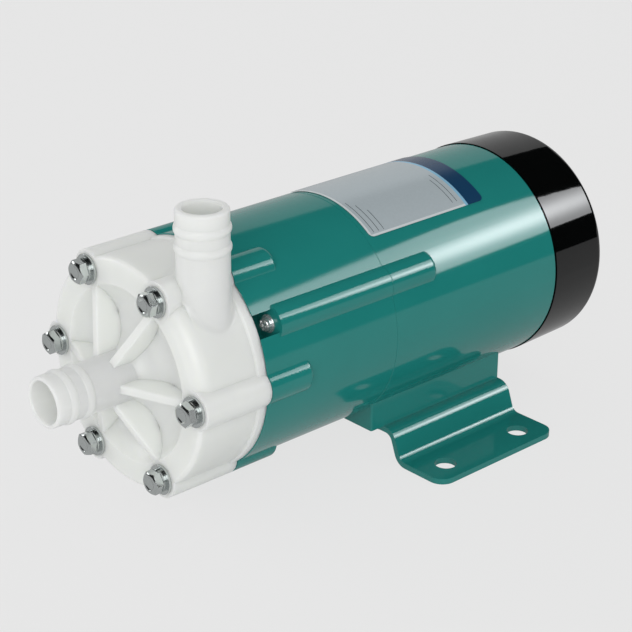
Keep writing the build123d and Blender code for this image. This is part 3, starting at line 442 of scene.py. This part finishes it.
# Tie screws
# Three long pan head screws tie the bracket to the shell, each with a spring washer and a
# flat washer. They are steel with bright zinc plating, a little whiter than the bolts.
zinc_plating = skin(
    "bright_zinc_plating", "e4e7e8", "f2f4f5",
    drift_mm=1.5, grain_mm=0.3, depth_mm=0.002, roughness=0.15, more={"Metallic": 0.8},
)
tie_screw_circle = 0.0400
tie_screw_degrees = (30.0, 150.0, 270.0)
tie_screw_turns = (20.0, 55.0, 80.0)
tie_shank_radius = 0.0020
tie_head_radius = 0.0026
tie_head_edge = 0.0010
tie_head_crown = 0.0002
tie_head_sink = 0.0006  # how far the heads' tops lie below those of the plain solids
cross_half_width = 0.00045
cross_half_length = 0.0017
cross_side_softness = 0.0002
cross_depth = 0.0011
flat_washer_radius = 0.0035
flat_washer_bore = 0.0021
flat_washer_thickness = 0.0006
spring_washer_radius = 0.0028
spring_washer_bore = 0.0022
spring_washer_thickness = 0.0007
washer_edge_cut = 0.00012
head_edge_rings = 7
head_crown_rings = 12
ring_columns = 64
weld_distance = 1e-7
sliver_length = 1e-8
tie_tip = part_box("bracket_screws")[0][0]
tie_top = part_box("bracket_screws")[1][0] - tie_head_sink
tie_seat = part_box("bracket_screw_washers")[0][0]
flat_washer_top = tie_seat + flat_washer_thickness
spring_washer_top = flat_washer_top + spring_washer_thickness


def on_circle(radius, degrees):
    """Point at an angle on a circle round the shaft: (0, r cos a, shaft height + r sin a)."""
    angle = math.radians(degrees)
    return (0.0, radius * math.cos(angle), shaft_height + radius * math.sin(angle))


def soft_step(low, high, value):
    """0 below low, 1 above high, 3 t^2 - 2 t^3 between them."""
    t = np.clip((value - low) / (high - low), 0, 1)
    return t * t * (3 - 2 * t)


def soft_end(half, value):
    """1 up to half a width or length either side, 0 past it, with a soft step between."""
    return 1 - soft_step(half - cross_side_softness, half + cross_side_softness, np.abs(value))


def pan_head_surface(turn_degrees):
    """Grid from the shank's tip to the middle of the head: rows are rings along the screw. The
    head's edge is a quarter circle, and its top falls with the square of the radius. Two
    crossed bars with soft sides are sunk into it, by depth * max(bar(u, v), bar(v, u))."""
    around = np.linspace(0, 2 * np.pi, ring_columns, endpoint=False)
    quarter = np.linspace(0, np.pi / 2, head_edge_rings)
    share = np.linspace(1, 0, head_crown_rings)[1:]
    seat = spring_washer_top
    edge_x = tie_top - tie_head_crown - tie_head_edge * (1 - np.sin(quarter))
    crown_x = tie_top - tie_head_crown * share**2
    top_radius = tie_head_radius - tie_head_edge
    edge_radius = top_radius + tie_head_edge * np.cos(quarter)
    x = [tie_tip, tie_tip, seat, seat, *edge_x, *crown_x]
    radius = [0, tie_shank_radius, tie_shank_radius, tie_head_radius, *edge_radius, *(top_radius * share)]
    x = np.array(x)[:, None] * np.ones_like(around)
    radius = np.array(radius)[:, None]
    y, z = radius * np.cos(around), radius * np.sin(around)
    turn = math.radians(turn_degrees)
    u, v = y * math.cos(turn) + z * math.sin(turn), z * math.cos(turn) - y * math.sin(turn)
    bars = [soft_end(cross_half_width, a) * soft_end(cross_half_length, b) for a, b in ((u, v), (v, u))]
    on_head = (x > seat) & (radius < cross_half_length + cross_side_softness)
    return np.stack([x - cross_depth * np.maximum(*bars) * on_head, y, z], axis=2)


def ring_surface(low, high, inner, outer):
    """Closed ring: a rectangle with small cut corners, carried round the shaft's direction."""
    cut = washer_edge_cut
    x = [low, low, low + cut, high - cut, high, high, high - cut, low + cut, low]
    radius = [inner + cut, outer - cut, outer, outer, outer - cut, inner + cut, inner, inner, inner + cut]
    around = np.linspace(0, 2 * np.pi, ring_columns, endpoint=False)
    x = np.array(x)[:, None] * np.ones_like(around)
    radius = np.array(radius)[:, None]
    return np.stack([x, radius * np.cos(around), radius * np.sin(around)], axis=2)


def closed_piece(name, grids, sharp_degrees):
    """One mesh of several closed tubes of rings, each with its seams and poles welded."""
    vertices = []
    quads = []
    for grid in grids:
        quads.append(grid_faces(*grid.shape[:2], wrap=True) + sum(len(v) for v in vertices))
        vertices.append(grid.reshape(-1, 3))
    mesh = bpy.data.meshes.new(name)
    mesh.from_pydata(np.vstack(vertices).tolist(), [], np.vstack(quads).tolist())
    form = bmesh.new()
    form.from_mesh(mesh)
    bmesh.ops.remove_doubles(form, verts=form.verts, dist=weld_distance)
    bmesh.ops.dissolve_degenerate(form, edges=form.edges, dist=sliver_length)
    bmesh.ops.recalc_face_normals(form, faces=form.faces)
    form.to_mesh(mesh)
    form.free()
    mesh.shade_smooth()
    mesh.set_sharp_from_angle(angle=math.radians(sharp_degrees))
    piece = bpy.data.objects.new(name, mesh)
    bpy.context.scene.collection.objects.link(piece)
    return piece


tie_screws = []
tie_washers = []
for degrees, turn_degrees in zip(tie_screw_degrees, tie_screw_turns):
    centre = on_circle(tie_screw_circle, degrees)
    flat_washer = ring_surface(tie_seat, flat_washer_top, flat_washer_bore, flat_washer_radius)
    spring_washer = ring_surface(flat_washer_top, spring_washer_top, spring_washer_bore, spring_washer_radius)
    tie_screws.append(pan_head_surface(turn_degrees) + centre)
    tie_washers += [flat_washer + centre, spring_washer + centre]
for name, node, grids in (
    ("tie_screw_set", "bracket_screws", tie_screws),
    ("tie_washer_set", "bracket_screw_washers", tie_washers),
):
    made = closed_piece(name, grids, sharp_degrees=40.0)
    made.data.materials.append(zinc_plating)
    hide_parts(node)
    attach(made, "housing")

# Drive magnet
# A turned steel cup on the motor shaft, held by two grub screws, with eight sintered arc
# magnets glued inside. The magnets are dark grey, dull and slightly gritty.
magnet = skin(
    "sintered_magnet_ferrite", "2b2c2f", "45474b",
    drift_mm=1.2, grain_mm=0.25, depth_mm=0.015, roughness=0.52, more={"Metallic": 0.35},
)
dress(magnet, "drive_magnets", "driven_magnet")
dress(ground_steel, "drive_magnet_yoke")
dress(stainless, "yoke_set_screws")

# Rear casing and front casing
# Milky polypropylene: light goes a few millimetres in and comes out soft, so the hose tails
# glow a little and hollow corners stay light. The mould leaves a satin face.
milky = {
    "IOR": 1.49,
    "Subsurface Weight": 1.0,
    "Subsurface Radius": (1.0, 1.0, 0.94),
    "Subsurface Scale": 0.005,
}
milky_plastic = skin(
    "translucent_polypropylene", "e7e9e6", "eef0ed",
    drift_mm=16.0, grain_mm=1.1, depth_mm=0.006, roughness=0.30, more=milky,
)
dress(milky_plastic, "rear_casing", "front_casing")
dress(rubber, "casing_o_ring")

# Spindle and thrust washers
# Sintered alumina ceramic, ground: cream white, hard and smooth. The spindle stands still
# between the two casings, and a washer at each end takes the impeller's thrust.
ceramic = skin(
    "ground_alumina_ceramic", "e4dccb", "efe9dc",
    drift_mm=3.0, grain_mm=0.2, depth_mm=0.0015, roughness=0.22, more={"IOR": 1.76},
)
dress(ceramic, "spindle", "front_thrust_washer", "rear_thrust_washer")

# Impeller, magnet capsule and mouth ring
# Moulded grey fluoropolymer, waxy: light goes about a millimetre in. The bush inside is
# moulded carbon, dark grey with a slight metal sheen.
waxy = {
    "IOR": 1.40,
    "Subsurface Weight": 0.3,
    "Subsurface Radius": (1.0, 1.0, 1.0),
    "Subsurface Scale": 0.001,
}
fluoropolymer = skin(
    "grey_fluoropolymer", "7c7f80", "8d9091",
    drift_mm=8.0, grain_mm=0.6, depth_mm=0.006, roughness=0.38, more=waxy,
)
carbon = skin(
    "moulded_carbon", "131314", "242426",
    drift_mm=0.8, grain_mm=0.2, depth_mm=0.006, roughness=0.40, more={"Metallic": 0.2},
)
dress(fluoropolymer, "impeller", "magnet_capsule", "capsule_cap", "mouth_ring")
dress(carbon, "impeller_bush")

# Casing bolts
# Six M5 hexagon bolts, cold headed: the top's corners are turned off by a 30 degree cone and
# its middle is dished. Each was tightened to another angle.
bolt_circle = 0.0400
bolt_turns = (12.0, 41.0, 25.0, 3.0, 50.0, 33.0)
bolt_spacing_degrees = 360 / len(bolt_turns)
bolt_low, bolt_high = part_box("casing_bolts")
bolt_tip, bolt_top = bolt_low[0], bolt_high[0]
shank_radius = 0.0025
tip_radius_share = 0.9
tip_chamfer = 0.0003
head_height = 0.0035
head_flats = 0.0080
under_edge_share = 0.96
under_edge_height = 0.00012
cone_radius = 0.0032
cone_slope = math.tan(math.radians(30))
cone_middle_share = 0.36
dish_radius = 0.0026
dish_depth = 0.0004
dish_profile = ((1.0, 0.0), (0.86, 0.7), (0.6, 1.0), (0.0, 1.0))
bolt_columns = 72


def bolt_surface(turn_degrees):
    """Grid from the shank's tip to the middle of the head's dish. Rows are rings along the bolt
    and columns go round it. In a direction t from the nearest flat's middle, the head's radius
    is flats / 2 / cos t. The cone takes (radius - cone radius) * slope off its height, and less
    than half of that at its middle, so that it is crowned. The dish is a profile of shares of
    its radius and depth."""
    around = np.linspace(0, 2 * np.pi, bolt_columns, endpoint=False)
    from_flat = (around + np.pi / 6) % (np.pi / 3) - np.pi / 6
    hexagon = head_flats / 2 / np.cos(from_flat)
    seat = bolt_top - head_height
    cone_drop = (hexagon - cone_radius) * cone_slope
    rings = [
        (bolt_tip, 0.0),
        (bolt_tip, tip_radius_share * shank_radius),
        (bolt_tip + tip_chamfer, shank_radius),
        (seat, shank_radius),
        (seat, under_edge_share * hexagon),
        (seat + under_edge_height, hexagon),
        (bolt_top - cone_drop, hexagon),
        (bolt_top - cone_middle_share * cone_drop, (hexagon + cone_radius) / 2),
        (bolt_top, cone_radius),
        *((bolt_top - deep * dish_depth, wide * dish_radius) for wide, deep in dish_profile),
    ]
    x, radius = (np.stack([np.broadcast_to(ring[i], around.shape) for ring in rings]) for i in (0, 1))
    angle = around + math.radians(turn_degrees)
    return np.stack([x, radius * np.cos(angle), radius * np.sin(angle)], axis=2)


bolts = []
for step, turn_degrees in enumerate(bolt_turns):
    bolts.append(bolt_surface(turn_degrees) + on_circle(bolt_circle, bolt_spacing_degrees * step))
casing_bolts = closed_piece("casing_bolt_set", bolts, sharp_degrees=28.0)
casing_bolts.data.materials.append(stainless)
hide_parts("casing_bolts")
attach(casing_bolts, "housing")
dress(stainless, "casing_spring_washers", "casing_flat_washers")

# Rating plate
# A printed polyester sheet stuck round the top of the shell: silver grey, with a thin white
# edge, a dark blue band across its rear end, a pale blue line and a few thin rules.
plate_front, plate_rear = 0.0376, -0.0239
plate_low, plate_high = math.radians(52.5), math.radians(115.0)
plate_corner = 0.0022
plate_thickness = 0.0002
plate_gap = 0.00003
plate_rows = 90
plate_end_rows = 10
plate_columns = 12
shell_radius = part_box("motor_shell")[1][1]
plate_length = plate_front - plate_rear
plate_reach = shell_radius * (plate_high - plate_low)


def sheet_round_shell():
    """Grid on the shell: rows go round it by angle, columns along it, and each row is shortened
    at its ends by the corner circle, c - sqrt(c^2 - (c - d)^2) for a row at distance d < c from
    the sheet's edge. With it, each point's place on the flat sheet."""
    ends = plate_corner / plate_reach * (1 - np.cos(np.linspace(0, np.pi / 2, plate_end_rows)))
    middle = np.linspace(0, 1, plate_rows)
    middle = middle[(middle > ends[-1]) & (middle < 1 - ends[-1])]
    rows = np.sort(np.concatenate([ends, 1 - ends, middle]))
    inset = np.minimum(rows, 1 - rows) * plate_reach
    short = plate_corner - np.sqrt(np.maximum(plate_corner**2 - np.maximum(plate_corner - inset, 0) ** 2, 0))
    along = short[:, None] + (plate_length - 2 * short)[:, None] * np.linspace(0, 1, plate_columns)
    across = np.broadcast_to(rows[:, None] * plate_reach, along.shape)
    angle = (plate_low + (plate_high - plate_low) * rows)[:, None]
    radius = shell_radius + plate_thickness
    y = np.broadcast_to(radius * np.cos(angle), along.shape)
    z = np.broadcast_to(shaft_height + radius * np.sin(angle), along.shape)
    return np.stack([plate_rear + along, y, z], axis=2), np.stack([along, across], axis=2)


points, flat_places = sheet_round_shell()
faces = grid_faces(*points.shape[:2], wrap=False)
plate_mesh = bpy.data.meshes.new("rating_plate")
plate_mesh.from_pydata(points.reshape(-1, 3).tolist(), [], faces.tolist())
printed = plate_mesh.uv_layers.new(name="printed")
printed.data.foreach_set("uv", flat_places.reshape(-1, 2)[faces.ravel()].ravel().astype(np.float32))
rating_plate = bpy.data.objects.new("rating_plate", plate_mesh)
bpy.context.scene.collection.objects.link(rating_plate)
thick = rating_plate.modifiers.new("thickness", "SOLIDIFY")
thick.thickness = plate_thickness - plate_gap

silver_hex = "b5c0c5"
silver_light_hex = "bec9ce"
silver_grains_per_metre = 900.0
edge_hex = "dfe6e8"
edge_width = 0.0009
band_hex = "164266"
band_width = 0.0088
line_hex = "8fc6e4"
line_width = 0.0014
rule_hex = "3b4247"
rule_half_width = 0.00014
before_rear_end = -1.0

# Each rule has its distance from the rear end, and where it starts and stops across the sheet
rules = (
    (0.0128, 0.0030, 0.0200),
    (0.0152, 0.0030, 0.0170),
    (0.0536, 0.0016, 0.0120),
    (0.0562, 0.0016, 0.0160),
    (0.0588, 0.0016, 0.0190),
)

foil, tree = empty_material("printed_silver_polyester")
flat_place = add(tree, "ShaderNodeUVMap", uv_map="printed")
place_along, place_across = add(tree, "ShaderNodeSeparateXYZ", {0: flat_place}).outputs[:2]


def printed_band(value, low, high):
    """1 where a place on the sheet lies between two limits, else 0."""
    above = add(tree, "ShaderNodeMath", {0: value, 1: low}, operation="GREATER_THAN")
    below = add(tree, "ShaderNodeMath", {0: value, 1: high}, operation="LESS_THAN")
    return add(tree, "ShaderNodeMath", {0: above, 1: below}, operation="MULTIPLY")


def printed_box(low_along, high_along, low_across, high_across):
    """1 inside a rectangle on the sheet, else 0."""
    along = printed_band(place_along, low_along, high_along)
    across = printed_band(place_across, low_across, high_across)
    return add(tree, "ShaderNodeMath", {0: along, 1: across}, operation="MULTIPLY")


place = add(tree, "ShaderNodeTexCoord").outputs["Object"]
grains = add(tree, "ShaderNodeTexNoise", {"Vector": place, "Scale": silver_grains_per_metre})
tones = {0: grains, 6: linear(silver_hex), 7: linear(silver_light_hex)}
silver = add(tree, "ShaderNodeMix", tones, data_type="RGBA").outputs[2]
inside = printed_box(edge_width, plate_length - edge_width, edge_width, plate_reach - edge_width)
edged = {0: inside, 6: linear(edge_hex), 7: silver}
colour = add(tree, "ShaderNodeMix", edged, data_type="RGBA").outputs[2]
prints = []
for rule_place, rule_low, rule_high in rules:
    rule = printed_box(rule_place - rule_half_width, rule_place + rule_half_width, rule_low, rule_high)
    prints.append((rule, rule_hex))
prints.append((printed_band(place_along, band_width, band_width + line_width), line_hex))
prints.append((printed_band(place_along, before_rear_end, band_width), band_hex))
for mask, ink_hex in prints:
    over = {0: mask, 6: colour, 7: linear(ink_hex)}
    colour = add(tree, "ShaderNodeMix", over, data_type="RGBA").outputs[2]
surface = {"Base Color": colour, "Roughness": 0.22, "IOR": 1.50, "Metallic": 0.15}
shader = add(tree, "ShaderNodeBsdfPrincipled", surface)
add(tree, "ShaderNodeOutputMaterial", {"Surface": shader})
plate_mesh.materials.append(foil)
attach(rating_plate, "housing")
